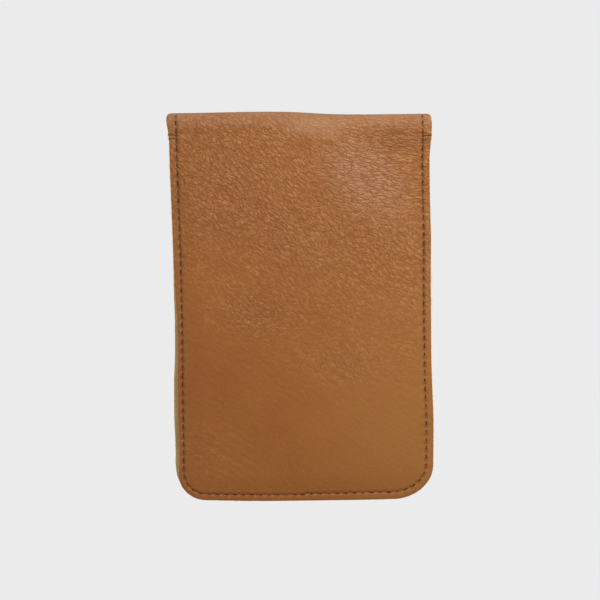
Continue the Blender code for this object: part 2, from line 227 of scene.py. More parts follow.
class Outline:
    """A cut edge in the flat pattern, with the seam inside it and the needle holes along that seam."""

    def __init__(self, points, closed):
        self.points = np.array(points)
        following = np.roll(self.points, -1, axis=0)
        before = np.roll(self.points, 1, axis=0)
        if not closed:
            following[-1] = self.points[-1]
            before[0] = self.points[0]
        along = following - before
        along /= np.linalg.norm(along, axis=1)[:, None]
        self.normals = np.stack([along[:, 1], -along[:, 0]], axis=1)
        inset = seam_inset(self.points[:, 1], self.points[:, 0])
        seam = self.points - self.normals * inset[:, None]
        if closed:
            seam = np.vstack([seam, seam[:1]])
        steps = np.linalg.norm(np.diff(seam, axis=0), axis=1)
        length = np.concatenate([[0], np.cumsum(steps)])
        self.stitches = int(round(length[-1] / PITCH))
        self.counts = (length / length[-1] * self.stitches)[: len(self.points)]
        at = np.linspace(0, length[-1], self.stitches + 1)
        self.holes = np.stack([np.interp(at, length, seam[:, axis]) for axis in (0, 1)], axis=1)

    def near(self, x, s):
        """(distance in from the cut edge, stitch count there) of flat points, with far points capped."""
        shape = np.shape(x)
        x = np.ravel(x).astype(float)
        s = np.ravel(s).astype(float)
        distance = np.full(len(x), float(FAR_INSIDE))
        count = np.zeros(len(x))
        low = self.points.min(axis=0)
        high = self.points.max(axis=0)
        rough = np.minimum(np.minimum(x - low[0], high[0] - x), np.minimum(s - low[1], high[1] - s))
        close = np.flatnonzero(rough < FAR_INSIDE)
        for part in np.array_split(close, max(1, len(close) // 4000)):
            dx = x[part, None] - self.points[:, 0]
            ds = s[part, None] - self.points[:, 1]
            away = dx * dx + ds * ds
            found = away.argmin(axis=1)
            rows = np.arange(len(part))
            inward = -(dx[rows, found] * self.normals[found, 0] + ds[rows, found] * self.normals[found, 1])
            true = np.sqrt(away[rows, found])
            distance[part] = np.minimum(np.where(true < 2, inward, true), FAR_INSIDE)
            count[part] = self.counts[found]
        return distance.reshape(shape), count.reshape(shape)


def corner_rows(size, steps):
    """Heights through a rounded corner, close together at its edge, where the outline runs nearly flat."""
    return size * (1 - np.cos(np.linspace(0, math.pi / 2, steps)))


def side_points(width, rows):
    """An outline up the right side and down the left, closed along the bottom, without repeats."""
    right = [(float(width(s, 1.0)), float(s)) for s in rows]
    left = [(-float(width(s, -1.0)), float(s)) for s in rows[::-1]]
    bottom = np.arange(left[-1][0] + 0.5, right[0][0] - 0.5, 0.5)
    middle = len(bottom) // 2
    bottom = [(float(x), 0.0) for x in bottom]
    return bottom[middle:] + right, left + bottom[:middle]


def hide_outline():
    corner = corner_rows(CORNER_UP[1], 80)
    end = HIDE_LENGTH - corner_rows(FLAP_CORNER, 60)[::-1]
    rows = np.concatenate([corner, np.arange(corner[-1] + 0.5, end[0] - 0.2, 0.5), end])
    rising, falling = side_points(half_width, rows)
    last = rising[-1][0]
    end_row = [(float(x), HIDE_LENGTH) for x in np.arange(last - 0.5, falling[0][0] + 0.2, -0.5)]
    return Outline(rising + end_row + falling, closed=True)


def front_outline():
    corner = corner_rows(CORNER_UP[1], 80)
    rows = np.concatenate([corner, np.arange(corner[-1] + 0.5, MOUTH_Z + 0.1, 0.5)])
    rising, falling = side_points(front_half_width, rows)
    return Outline(falling + rising, closed=False)


HIDE = hide_outline()
FRONT = front_outline()


# ---- from the flat pattern into the frame ----


def tilt(x, s):
    """The fold stands a little high, and runs uphill to the left."""
    there = ramp(s, 95, 188) * (1 - ramp(s, FLAP_START, FLAP_START + 50))
    left_end = 0.3 * ramp(-x, 20, 60)
    return (FOLD_RISE - TILT * np.tanh((x - TILT_MIDDLE) / TILT_REACH) - left_end) * there


def raise_bottom(x, s):
    """The bottom edge bows: its ends stand a little higher than its middle."""
    ends = by_side(BOTTOM_RAISE, x) * (np.abs(x) / HALF_WIDTH) ** 2
    return ends * (1 - ramp(s, 0, RAISE_REACH))


def edge_roll(d, s):
    """How far the back's border rolls away from its face."""
    along_bottom = 0.5 + 0.5 * ramp(s, 8, 36)
    return EDGE_ROLL * (1 - smooth(d / ROLL_WIDTH)) * (1 - ramp(s, *ROLL_FADE)) * along_bottom


def sway(x, s, seed):
    """The slow hollows of a soft, handled case, none at the border or the fold."""
    inside = ramp(np.minimum(HALF_WIDTH - np.abs(x), s), 4, 26) * (1 - ramp(s, MOUTH_Z - 40, MOUTH_Z - 4))
    slow = 0.55 * (1 + lattice_noise(x, s, 46, seed)) / 2
    return inside * (slow + 0.22 * (1 + lattice_noise(x + s, s - 0.4 * x, 19, seed + 1)) / 2)


def back_y(x, s, d):
    return BACK_Y + edge_roll(d, s) + sway(x, s, 5)


def flap_y(x, s):
    """The flap's outside: it lifts over the press stud and its sides droop towards the pocket."""
    below = s - FLAP_START
    lift = FLAP_LIFT * ramp(below, 0, 28)
    droop = DROOP * (np.abs(x) / HALF_WIDTH) ** 2.2 * ramp(below, 2, 40)
    lip = 0.9 * ramp(below, 38, 52) * (0.5 + 0.5 * lattice_noise(x, 0 * x, 24, 3))
    return FLAP_Y + lift - droop - lip * (np.abs(x) / HALF_WIDTH)


def place_hide(x, s, depth, d):
    """Frame positions of flat points, depth inside the hide's outer face and d in from its cut edge."""
    x, s, depth = np.broadcast_arrays(np.asarray(x, float), s, depth)
    y = back_y(x, s, d) + depth
    z = s.copy()
    angle = (s - FOLD_Z) / RADIUS
    on_fold = (s > FOLD_Z) & (s < FLAP_START)
    reach = RADIUS - depth
    y = np.where(on_fold, FOLD_Y - reach * np.cos(angle), y)
    z = np.where(on_fold, FOLD_Z + reach * np.sin(angle), z)
    on_flap = s >= FLAP_START
    y = np.where(on_flap, flap_y(x, s) - depth, y)
    z = np.where(on_flap, FOLD_Z + FLAP_START - s, z)
    return np.stack([x, y, z + tilt(x, s) + raise_bottom(x, s)], axis=-1)


def front_y(x, s, d):
    edge = BACK_Y + edge_roll(d, s) + SEWN_EDGE
    return edge + (FRONT_Y - edge) * ramp(d, *RISE) - sway(x, s, 11)


def place_front(x, s, depth, d):
    """As place_hide, for the front panel, whose outer face looks the other way."""
    x, s, depth = np.broadcast_arrays(np.asarray(x, float), s, depth)
    y = front_y(x, s, d) - depth
    return np.stack([x, y, s + tilt(x, s) + raise_bottom(x, s)], axis=-1)


def felt_room(d, s):
    """How far the felt under it pushes a lining in."""
    return (FELT + GAP) * ramp(d, *FELT_EDGE) * (1 - ramp(s, FELT_TOP, MOUTH_Z))


# ---- relief of the leather, as depth below its smooth face ----

# Patches low on the back where handling has creased it: (x, s, reach across, reach up, strength).
CREASED = ((22, 71, 22, 11, 0.40), (-25, 97, 21, 11, 0.38), (-50, 26, 12, 16, 0.2))
# How far either side of the fold's top the pebbles have been worn smooth.
SMOOTH_TOP = 5.6


def grain_strength(x, s):
    """Strong pebbles high on the back and to the right, few low down, hardly any over the top of the fold."""
    height = 0.10 + 0.90 * ramp(s + 0.28 * x + 12 * lattice_noise(x, s, 30, 21), 66, 182)
    for middle_x, middle_s, wide, tall, strength in CREASED:
        height = height + strength * bump(np.hypot((x - middle_x) / wide, (s - middle_s) / tall), 1)
    over_fold = 1 - 0.85 * bump(s - APEX, SMOOTH_TOP) ** 0.8
    on_flap = np.where(s > APEX, 0.8, 1)
    return height * over_fold * on_flap


def seam_relief(from_seam, count):
    """The groove that the seam pulls in, a pit at each needle hole and a swell between holes."""
    to_hole = PITCH * np.abs(count - np.round(count))
    groove = SEAM_GROOVE * bump(from_seam, 0.75)
    pit = 0.42 * np.exp(-(from_seam**2 + to_hole**2) / 0.42)
    swell = 0.10 * np.cos(2 * math.pi * count) * bump(from_seam, 1.9)
    return groove + pit + swell


def leather_relief(x, s, d, inset, count, strength, seed):
    """Seam, worn edge, large pebbles and fine creases, both drawn out along the hide's own slanting grain."""
    along = x * 0.77 - s * 0.64 + 2.4 * lattice_noise(x, s, 12, seed)
    across = x * 0.64 + s * 0.77 + 2.4 * lattice_noise(s, x, 12, seed + 1)
    large = 0.11 * (1 - pebbles(along / 1.7, across, 2.3, seed + 2)) * strength
    worn_edge = 0.22 * (1 - np.clip(d / 1.1, 0, 1)) ** 2
    inside = ramp(d, 1.5, 5)
    crease_field = lattice_noise(along, across * 2.4, 6.5, seed + 3)
    creases = 0.10 * bump(crease_field, 0.12) * inside * ramp(s, 18, 60)
    return seam_relief(d - inset, count) + large + worn_edge + creases


def hide_relief(x, s, d, count):
    mouth_line = 0.16 * bump(s - MOUTH_Z + 1.2, 0.9) * (1 - ramp(half_width(s, x) - np.abs(x), 8, 48))
    corner = bump(np.hypot(x + 47, s - 22), 22)
    folds = 0.14 * corner * bump(np.sin(0.42 * (x + 1.7 * s) + 0.8 * lattice_noise(x, s, 9, 8)), 0.35)
    relief = leather_relief(x, s, d, seam_inset(s, x), count, grain_strength(x, s), 31)
    return relief + mouth_line + folds * ramp(d, 5, 10)


def front_strength(x, s):
    return 0.35 + 0.5 * ramp(s + 20 * lattice_noise(x, s, 40, 77), 40, 120)


def front_relief(x, s, d, count):
    mouth = 0.25 * bump(MOUTH_Z - s - SEAM_INSET, 0.7)
    return leather_relief(x, s, d, seam_inset(0 * s, x), count, front_strength(x, s), 57) + mouth


# ---- meshes ----


def make_mesh(name, points, faces, materials, face_material=None, attributes=None, sharp=None):
    """An object with smooth-shaded faces and points in mm. Edges between two sharp points stay crisp."""
    mesh = bpy.data.meshes.new(name)
    mesh.from_pydata((np.asarray(points) * MM).tolist(), [], faces)
    mesh.polygons.foreach_set("use_smooth", [True] * len(mesh.polygons))
    for material in materials:
        mesh.materials.append(material)
    if face_material is not None:
        mesh.polygons.foreach_set("material_index", face_material)
    for key, values in (attributes or {}).items():
        kind, field = ("FLOAT_VECTOR", "vector") if np.ndim(values) == 2 else ("FLOAT", "value")
        made = mesh.attributes.new(key, kind, "POINT")
        made.data.foreach_set(field, np.asarray(values, np.float32).ravel())
    if sharp:
        for edge in mesh.edges:
            edge.use_edge_sharp = sharp.issuperset(edge.vertices)
    mesh.update()
    made = bpy.data.objects.new(name, mesh)
    bpy.context.scene.collection.objects.link(made)
    return made


def quads(index):
    """Faces between neighbours in a grid of point numbers, or in each grid of a stack."""
    near = index[..., :-1, :]
    far = index[..., 1:, :]
    corners = (near[..., :-1], near[..., 1:], far[..., 1:], far[..., :-1])
    return np.stack(corners, axis=-1).reshape(-1, 4).tolist()


def closed_round(index):
    """The grid with its first column once more after its last."""
    return np.concatenate([index, index[..., :1]], axis=-1)


def unit(vectors):
    return vectors / np.maximum(np.linalg.norm(vectors, axis=-1), 1e-9)[..., None]


def spread(*stops):
    """Positions through (position, spacing from there on) stops, to the last one's position."""
    made = []
    for (start, spacing), (end, _) in zip(stops, stops[1:]):
        count = max(1, int(round(abs(end - start) / spacing)))
        made.append(np.linspace(start, end, count + 1)[:-1])
    return np.concatenate([*made, [stops[-1][0]]])


def column_shares(half, fine, coarse, border=9):
    """Shares of the half width, from -1 to 1, close together within the border."""
    right = spread((0, coarse), (half - border, fine), (half, fine)) / half
    return np.concatenate([-right[:0:-1], right])


def every(count, step):
    """Indices 0, step, 2 step ... that also keep the last."""
    return sorted(set(range(0, count, step)) | {count - 1})


def border_places(rows, columns):
    """Grid places round the border, once, starting along the first row."""
    loop = [(rows[0], c) for c in columns[:-1]]
    loop += [(r, columns[-1]) for r in rows[:-1]]
    loop += [(rows[-1], c) for c in columns[:0:-1]]
    return loop + [(r, columns[0]) for r in rows[:0:-1]]


def rim_directions(x, s, border, joined_row):
    """Each border place's flat position and the flat direction out of the sheet, 0 along a joined row."""
    flat = np.stack([x[border], s[border]], axis=1)
    along = unit(np.roll(flat, -1, axis=0) - np.roll(flat, 1, axis=0))
    facing = 1 if (x[0, -1] > x[0, 0]) == (s[-1, 0] > s[0, 0]) else -1
    outward = facing * np.stack([along[:, 1], -along[:, 0]], axis=1)
    if joined_row is not None:
        rows, columns = border
        outward[rows == joined_row] = 0
        for corner in np.flatnonzero((rows == joined_row) & np.isin(columns, (0, x.shape[1] - 1))):
            outward[corner] = (np.sign(flat[corner, 0]), 0)
    return flat, outward


# The cut rim's rings: (share of the way from the outer face to the inner one, how far it stands out).
RIM_RINGS = ((0.22, 1.0), (0.6, 1.15), (0.9, 0.8))
HIDE_RIM = 0.16
SEAM_DARKENING_REACH = 0.8


def panel(name, grid, outer, inner, materials, coarse, joined_row=None, rim=HIDE_RIM, strength=None,
          outline=None):
    """A closed sheet with thickness: a fine outer face, a cut rim and a coarser inner face.
    grid is its flat (x, s). outer(x, s) and inner(x, s, share) give frame positions, with share 0 on the
    outer face and 1 on the inner one. joined_row is the row that meets another panel, and is cut flush."""
    x, s = grid
    points = []
    flats = []

    def add(placed, across, along, share):
        """Adds points and returns their numbers."""
        points.append(placed.reshape(-1, 3))
        flats.append(np.stack([across.ravel(), along.ravel(), np.full(across.size, share * LEATHER)], axis=1))
        return sum(map(len, points[:-1])) + np.arange(across.size).reshape(across.shape)

    index = add(outer(x, s), x, s, 0)
    faces = quads(index)
    outer_count = len(faces)
    loop = border_places(range(x.shape[0]), range(x.shape[1]))
    border = tuple(np.array(loop).T)
    flat, outward = rim_directions(x, s, border, joined_row)
    ragged = rim * (1 + 0.6 * lattice_noise(flat[:, 0] * 2, flat[:, 1] * 2, 1.1, 91))[:, None]
    rings = [index[border]]
    for share, out in RIM_RINGS:
        across, along = (flat + outward * ragged * out).T
        rings.append(add(inner(across, along, share), across, along, share))
    faces += quads(closed_round(np.array(rings)).T)

    inner_rows = every(x.shape[0], coarse)
    inner_columns = every(x.shape[1], coarse)
    kept = np.ix_(inner_rows, inner_columns)
    inner_index = add(inner(x[kept].ravel(), s[kept].ravel(), 1.0), x[kept], s[kept], 1)
    faces += quads(inner_index.T)
    inner_places = [(r, c) for r in inner_rows for c in inner_columns]
    where = dict(zip(inner_places, inner_index.ravel().tolist()))
    order = {place: i for i, place in enumerate(loop)}
    last_ring = rings[-1].tolist()
    coarse_loop = border_places(inner_rows, inner_columns)
    for here, after in zip(coarse_loop, coarse_loop[1:] + coarse_loop[:1]):
        end = order[after] or len(loop)
        between = [last_ring[i % len(loop)] for i in range(end, order[here] - 1, -1)]
        faces.append((where[here], where[after], *between))

    flats = np.vstack(flats)
    attributes = {"hide_mm": flats}
    if strength is not None:
        d, _ = outline.near(flats[:, 0], flats[:, 1])
        from_seam = d - seam_inset(flats[:, 1], flats[:, 0])
        attributes["grain"] = np.clip(strength(flats[:, 0], flats[:, 1]), 0, 1)
        attributes["seam"] = bump(from_seam, SEAM_DARKENING_REACH)
    face_material = [0] * outer_count + [1] * (len(faces) - outer_count)
    sharp = None if joined_row is None else set(index[joined_row].tolist())
    return make_mesh(name, np.vstack(points), faces, materials, face_material, attributes, sharp)


def cross_frames(paths, outward):
    """Two unit directions across each point of each path, the first as near outward as it can be."""
    tangent = unit(np.gradient(paths, axis=1))
    first = unit(outward - (outward * tangent).sum(axis=2)[..., None] * tangent)
    return first, np.cross(tangent, first)


def tubes(name, paths, outward, radius, material, sides=6, taper=0.0):
    """Closed tubes along paths, which is (tube, ring, 3), as one mesh. Their first side faces outward."""
    count, rings, _ = paths.shape
    angles = np.linspace(0, 2 * math.pi, sides, endpoint=False)
    first, second = cross_frames(paths, outward)
    thick = radius * (1 - taper * np.linspace(0, 1, rings))[None, :, None, None]
    ring = np.cos(angles)[None, None, :, None] * first[:, :, None, :]
    ring = ring + np.sin(angles)[None, None, :, None] * second[:, :, None, :]
    points = paths[:, :, None, :] + thick * ring
    index = np.arange(count * rings * sides).reshape(count, rings, sides)
    faces = quads(closed_round(index)) + index[:, 0, ::-1].tolist() + index[:, -1].tolist()
    along = np.cumsum(np.linalg.norm(np.diff(paths, axis=1), axis=2), axis=1)
    tag = np.zeros((count, rings, sides, 3))
    tag[:, 1:, :, 0] = along[:, :, None]
    tag[..., 1] = angles / (2 * math.pi)
    tag[..., 2] = np.arange(count)[:, None, None]
    attributes = {"thread_mm": tag.reshape(-1, 3)}
    return make_mesh(name, points.reshape(-1, 3), faces, [material], attributes=attributes)


def revolve(profile, place, steps=96):
    """(points, faces, last ring) of a profile of (radius, height) that starts on the axis it turns about."""
    angles = np.linspace(0, 2 * math.pi, steps, endpoint=False)
    points = [place(0, 0, profile[0][1])]
    for radius, height in profile[1:]:
        points += [place(radius * math.cos(a), radius * math.sin(a), height) for a in angles]
    rings = closed_round(1 + np.arange(len(points) - 1).reshape(-1, steps))
    first = rings[0].tolist()
    fan = [(0, after, here) for here, after in zip(first, first[1:])]
    return points, fan + quads(rings), rings[-1].tolist()


# ---- materials ----


class Shader:
    """A Principled material and short ways to add nodes to it."""

    def __init__(self, name, **surface):
        self.material = bpy.data.materials.new(name)
        self.material.use_nodes = True
        self.tree = self.material.node_tree
        self.surface = self.tree.nodes["Principled BSDF"]
        for socket, value in surface.items():
            self.surface.inputs[socket.replace("_", " ")].default_value = value

    def feed(self, socket, value):
        if isinstance(value, bpy.types.NodeSocket):
            self.tree.links.new(value, socket)
        else:
            socket.default_value = value

    def node(self, kind, inputs, **settings):
        made = self.tree.nodes.new("ShaderNode" + kind)
        for key, value in settings.items():
            setattr(made, key, value)
        for key, value in inputs.items():
            self.feed(made.inputs[key], value)
        return made

    def math(self, operation, a, b=0.0):
        return self.node("Math", {0: a, 1: b}, operation=operation).outputs[0]

    def times(self, a, b):
        return self.math("MULTIPLY", a, b)

    def plus(self, a, b):
        return self.math("ADD", a, b)

    def vector(self, operation, inputs, output=0):
        return self.node("VectorMath", inputs, operation=operation).outputs[output]

    def between(self, value, low, high, new_low=0.0, new_high=1.0):
        """Value from low to high, eased, as new_low to new_high."""
        inputs = {"Value": value, "From Min": low, "From Max": high, "To Min": new_low, "To Max": new_high}
        return self.node("MapRange", inputs, interpolation_type="SMOOTHSTEP").outputs[0]

    def mix(self, share, under, over):
        return self.node("Mix", {0: share, 6: under, 7: over}, data_type="RGBA").outputs[2]

    def attribute(self, name, output="Vector"):
        return self.node("Attribute", {}, attribute_name=name).outputs[output]

    def mapped(self, vector, scale, turn=0.0):
        """The vector turned, then scaled, so that a pattern is drawn out along a slant."""
        turned = self.node("Mapping", {"Vector": vector, "Rotation": (0, 0, turn)}).outputs[0]
        return self.vector("MULTIPLY", {0: turned, 1: scale})

    def noise(self, vector, scale, detail=2.0, roughness=0.5, output="Fac"):
        inputs = {"Vector": vector, "Scale": scale, "Detail": detail, "Roughness": roughness}
        return self.node("TexNoise", inputs).outputs[output]

    def cells(self, vector, scale, feature):
        made = self.node("TexVoronoi", {"Vector": vector, "Scale": scale}, feature=feature)
        return made.outputs["Distance"]

    def pebbles(self, vector):
        """Domes packed side by side, one per unit of the vector: 0 in the creases, 1 on the tops."""
        edge = self.between(self.cells(vector, 1.0, "DISTANCE_TO_EDGE"), 0.0, 0.16)
        dome = self.between(self.cells(vector, 1.0, "F1"), 0.75, 0.0)
        return self.plus(self.times(edge, 0.45), self.times(dome, 0.55))

    def warped(self, vector, scale, amount):
        """The vector, pushed about by noise."""
        push = self.vector("SUBTRACT", {0: self.noise(vector, scale, output="Color"), 1: (0.5, 0.5, 0.5)})
        return self.vector("ADD", {0: vector, 1: self.vector("SCALE", {0: push, "Scale": amount})})

    def patch(self, vector, centre, reach, turn=0.0):
        """A soft oval: 1 around its centre, falling to 0 at its reach across and along, turned."""
        away = self.vector("SUBTRACT", {0: vector, 1: (*centre, 0.0)})
        away = self.mapped(away, (1 / reach[0], 1 / reach[1], 0.0), turn)
        return self.between(self.vector("LENGTH", {0: away}, "Value"), 1.0, 0.14)

    def finish(self, colour, roughness, height, millimetres):
        """Feeds the surface, height being a relief that many millimetres deep, and returns the material."""
        relief = {"Height": height, "Distance": millimetres * MM, "Strength": 1.0}
        self.feed(self.surface.inputs["Base Color"], colour)
        self.feed(self.surface.inputs["Roughness"], roughness)
        self.feed(self.surface.inputs["Normal"], self.node("Bump", relief).outputs[0])
        return self.material


# The hide's colours, from the dye's own range to what use has made of it, with painted shade in the creases and
# painted highlights and sheen on the tops, ridges and fold.
REDDER_TAN = (0.268, 0.083, 0.0125, 1)
YELLOWER_TAN = (0.312, 0.113, 0.019, 1)
BLOTCH_TAN = (0.292, 0.083, 0.015, 1)
FRECKLE_TAN = (0.335, 0.128, 0.026, 1)
CREASE_SHADE_BROWN = (0.170, 0.052, 0.010, 1)
RUBBED_TOP_AND_HIGHLIGHT = (0.420, 0.180, 0.060, 1)
WRINKLE_RIDGE_HIGHLIGHT = (0.455, 0.205, 0.058, 1)
SEAM_BROWN = (0.130, 0.035, 0.008, 1)
WORN_FOLD_AND_SHEEN = (0.298, 0.166, 0.090, 1)
PAINTED_SHEEN_PINK = (0.460, 0.265, 0.180, 1)

# Where the tan changes, with painted light in two of them: (centre, reach across and up, strength, colour). In
# turn, a stain below the fold's right end, a pale streak below its middle that is wear with a painted sheen,
# and a paler lower right that is partly painted light.
TINTS = (((52, 190), (26, 13), 0.42, (0.170, 0.055, 0.008, 1)),
         ((6, 194), (26, 8), 0.40, (0.420, 0.220, 0.110, 1)),
         ((66, 48), (80, 78), 0.40, (0.360, 0.150, 0.032, 1)))

# The painted sheen: a pale pinkish oval high on the right where a specular haze is painted into the colour, its
# long side leaning.
SHEEN_PATCH_CENTRE = (35, 169)
SHEEN_PATCH_REACH = (25, 40)
SHEEN_PATCH_TURN = -0.68

# Pebbles per millimetre across and along the grain, and the grain's slant in radians.
SLANTED_PEBBLES = ((0.29, 0.56, 0.0), 0.80)
LEVEL_PEBBLES = ((0.22, 0.68, 0.0), 0.16)
SMALL_PEBBLES = ((0.62, 1.05, 0.0), 0.70)
STREAKS = ((0.09, 0.62, 0.0), 0.72)
WRINKLES = ((0.15, 0.42, 0.0), 0.35)
PEBBLE_DEPTH = 0.36


def leather_cushions(m, loose, across, up, blotch):
    """Pebbles that slant down to the right, and lie nearly level where the hide is pulled, at the top right."""
    pulled = m.times(m.between(m.plus(across, m.times(blotch, 50)), 20.0, 48.0), m.between(up, 138.0, 160.0))
    slanted = m.pebbles(m.mapped(loose, *SLANTED_PEBBLES))
    level = m.pebbles(m.mapped(loose, *LEVEL_PEBBLES))
    small = m.pebbles(m.mapped(loose, *SMALL_PEBBLES))
    large = m.plus(m.times(slanted, m.math("SUBTRACT", 1.0, pulled)), m.times(level, pulled))
    return m.plus(m.times(large, 0.68), m.times(small, 0.32))


def leather_material():
    """Pebbled, dyed tan leather: paler tops, worn and with painted highlights, painted shade in the creases,
    painted sheen over the fold and high on the right, slow drifts of colour with a painted lighter right side,
    a soft low gloss.
    """
    m = Shader("pebbled_tan_leather", Sheen_Weight=0.04, Sheen_Roughness=0.45)
    facing = m.node("LayerWeight", {"Blend": 0.5}).outputs["Facing"]
    m.feed(m.surface.inputs["Specular IOR Level"], m.between(facing, 0.4, 0.8, 0.32, 0.08))
    flat = m.attribute("hide_mm")
    grain = m.attribute("grain", "Fac")
    across, up, _ = m.node("SeparateXYZ", {0: flat}).outputs
    drift = m.noise(flat, 0.022)
    blotch = m.noise(flat, 0.085, 3.0, 0.6)
    freckle = m.noise(flat, 0.6, 2.0, 0.6)
    loose = m.warped(m.warped(flat, 0.045, 6.0), 0.3, 1.4)
    cushions = leather_cushions(m, loose, across, up, blotch)
    pores = m.noise(flat, 3.2, 3.0, 0.6)
    streaks = m.noise(m.mapped(loose, *STREAKS), 1.0, 3.0, 0.55)
    height = m.times(cushions, m.between(grain, 0.0, 1.0, 0.08, 1.0))
    height = m.plus(m.plus(height, m.times(pores, 0.12)), m.times(streaks, 0.35))

    # Slow drifts of dye, and a yellower, lighter right side that is partly painted light from the right.
    yellower_and_lit_right = m.plus(m.between(drift, 0.3, 0.7, 0.0, 0.5), m.between(across, -60.0, 60.0, 0.0, 0.5))
    colour = m.mix(yellower_and_lit_right, REDDER_TAN, YELLOWER_TAN)
    colour = m.mix(m.between(blotch, 0.4, 0.75, 0.0, 0.5), colour, BLOTCH_TAN)
    colour = m.mix(m.between(freckle, 0.45, 0.8, 0.0, 0.35), colour, FRECKLE_TAN)
    depth = m.between(grain, 0.0, 1.0, 0.06, 1.0)
    # Painted shade: the creases between the pebbles are darkened in the colour.
    creases = m.times(m.between(cushions, 0.62, 0.1), depth)
    colour = m.mix(m.times(creases, 0.56), colour, CREASE_SHADE_BROWN)
    # Paler pebble tops: partly wear, partly painted highlights.
    tops = m.times(m.between(cushions, 0.62, 0.95), depth)
    colour = m.mix(m.times(tops, 0.45), colour, RUBBED_TOP_AND_HIGHLIGHT)
    # Painted highlights: pale thin strokes along the wrinkle ridges.
    ridge_highlight = m.noise(m.mapped(loose, *WRINKLES), 1.0, 2.0, 0.45)
    ridge_highlight = m.between(m.math("ABSOLUTE", m.math("SUBTRACT", ridge_highlight, 0.5)), 0.034, 0.0)
    ridge_highlight = m.times(ridge_highlight, m.between(freckle, 0.35, 0.55, 0.2, 1.0))
    ridge_highlight = m.times(ridge_highlight, m.between(grain, 0.08, 0.4, 0.08, 0.52))
    colour = m.mix(ridge_highlight, colour, WRINKLE_RIDGE_HIGHLIGHT)
    # Darker along the seam's groove, less so near the bottom edge.
    seam_darkening = m.times(m.attribute("seam", "Fac"), m.between(up, 4.0, 14.0, 0.35, 1.0))
    colour = m.mix(m.times(seam_darkening, 0.6), colour, SEAM_BROWN)
    # The fold's top: partly wear, partly a painted sheen where the fold faces up.
    worn = m.times(m.between(up, APEX - 17, APEX - 5), m.between(up, APEX + 20, APEX + 7))
    worn = m.times(worn, m.between(blotch, 0.3, 0.7, 0.45, 0.85))
    worn = m.times(worn, m.between(creases, 0.0, 0.8, 1.0, 0.35))
    colour = m.mix(worn, colour, WORN_FOLD_AND_SHEEN)
    for centre, reach, share, tint in TINTS:
        colour = m.mix(m.times(m.patch(loose, centre, reach), share), colour, tint)
    # Painted sheen: a pale pinkish haze over the pebbles high on the right.
    painted_sheen = m.patch(loose, SHEEN_PATCH_CENTRE, SHEEN_PATCH_REACH, SHEEN_PATCH_TURN)
    colour = m.mix(m.times(painted_sheen, m.between(cushions, 0.2, 0.8, 0.08, 0.38)), colour, PAINTED_SHEEN_PINK)
    gloss = m.between(m.plus(blotch, m.times(creases, 0.4)), 0.25, 0.95, 0.42, 0.62)
    return m.finish(colour, gloss, height, PEBBLE_DEPTH)


def cut_edge_material():
    """The cut edge and flesh side of the hide: undyed khaki fibres, uneven and matt."""
    m = Shader("raw_leather_edge", Specular_IOR_Level=0.15, Sheen_Weight=0.25, Sheen_Roughness=0.6)
    flat = m.attribute("hide_mm")
    fibres = m.noise(m.mapped(m.warped(flat, 0.7, 0.8), (1.2, 1.2, 5.0)), 1.0, 4.0, 0.7)
    tufts = m.cells(m.warped(flat, 1.1, 0.7), 1.7, "F1")
    patch = m.noise(flat, 0.12)
    colour = m.mix(m.between(patch, 0.35, 0.7), (0.610, 0.415, 0.157, 1), (0.680, 0.455, 0.190, 1))
    colour = m.mix(m.between(fibres, 0.45, 0.85), colour, (0.300, 0.180, 0.065, 1))
    height = m.plus(fibres, m.times(tufts, 0.5))
    return m.finish(colour, m.between(fibres, 0.3, 0.8, 0.75, 0.95), height, 0.22)


def lining_material():
    """Thin brushed pigskin suede in a warm beige, with a short nap that lies in patches."""
    m = Shader("suede_lining", Specular_IOR_Level=0.12, Sheen_Weight=0.45, Sheen_Roughness=0.4)
    flat = m.attribute("hide_mm")
    nap = m.noise(m.mapped(m.warped(flat, 0.4, 1.2), (2.6, 0.9, 1.0), 0.5), 1.0, 4.0, 0.7)
    brushed = m.noise(m.warped(flat, 0.04, 8.0), 0.07, 3.0, 0.6)
    pits = m.between(m.cells(flat, 0.9, "F1"), 0.0, 0.25)
    colour = m.mix(m.between(brushed, 0.38, 0.66), (0.490, 0.335, 0.137, 1), (0.610, 0.425, 0.195, 1))
    colour = m.mix(m.between(nap, 0.4, 0.8, 0.0, 0.5), colour, (0.330, 0.205, 0.085, 1))
    colour = m.mix(m.between(pits, 0.0, 1.0, 0.35, 0.0), colour, (0.240, 0.145, 0.060, 1))
    return m.finish(colour, m.between(brushed, 0.3, 0.7, 0.78, 0.94), m.plus(nap, m.times(pits, 0.5)), 0.12)


def felt_material():
    """Grey-brown wool felt: matted fibres with lighter flecks."""
    m = Shader("wool_felt", Specular_IOR_Level=0.1, Sheen_Weight=0.5, Sheen_Roughness=0.7)
    flat = m.attribute("hide_mm")
    matted = m.noise(m.warped(flat, 0.5, 2.5), 1.6, 5.0, 0.75)
    flecks = m.noise(m.mapped(m.warped(flat, 0.3, 3.0), (0.5, 3.0, 1.0), 0.9), 1.0, 3.0, 0.6)
    colour = m.mix(m.between(matted, 0.35, 0.7), (0.105, 0.085, 0.068, 1), (0.215, 0.182, 0.150, 1))
    colour = m.mix(m.between(flecks, 0.6, 0.8, 0.0, 0.6), colour, (0.380, 0.345, 0.300, 1))
    return m.finish(colour, m.between(matted, 0.3, 0.7, 0.86, 0.98), matted, 0.3)


def thread_material(name, deep, plain, rubbed):
    """Waxed linen thread: plies, fine fibres and a dull wax gloss."""
    m = Shader(name, Specular_IOR_Level=0.05)
    along = m.attribute("thread_mm")
    fibres = m.noise(m.mapped(along, (2.2, 9.0, 1.7)), 1.0, 4.0, 0.65)
    dye = m.noise(m.mapped(along, (0.25, 0.3, 3.3)), 1.0)
    colour = m.mix(m.between(dye, 0.35, 0.65), deep, plain)
    colour = m.mix(m.between(fibres, 0.5, 0.85, 0.0, 0.6), colour, rubbed)
    return m.finish(colour, m.between(fibres, 0.3, 0.8, 0.42, 0.7), fibres, 0.08)


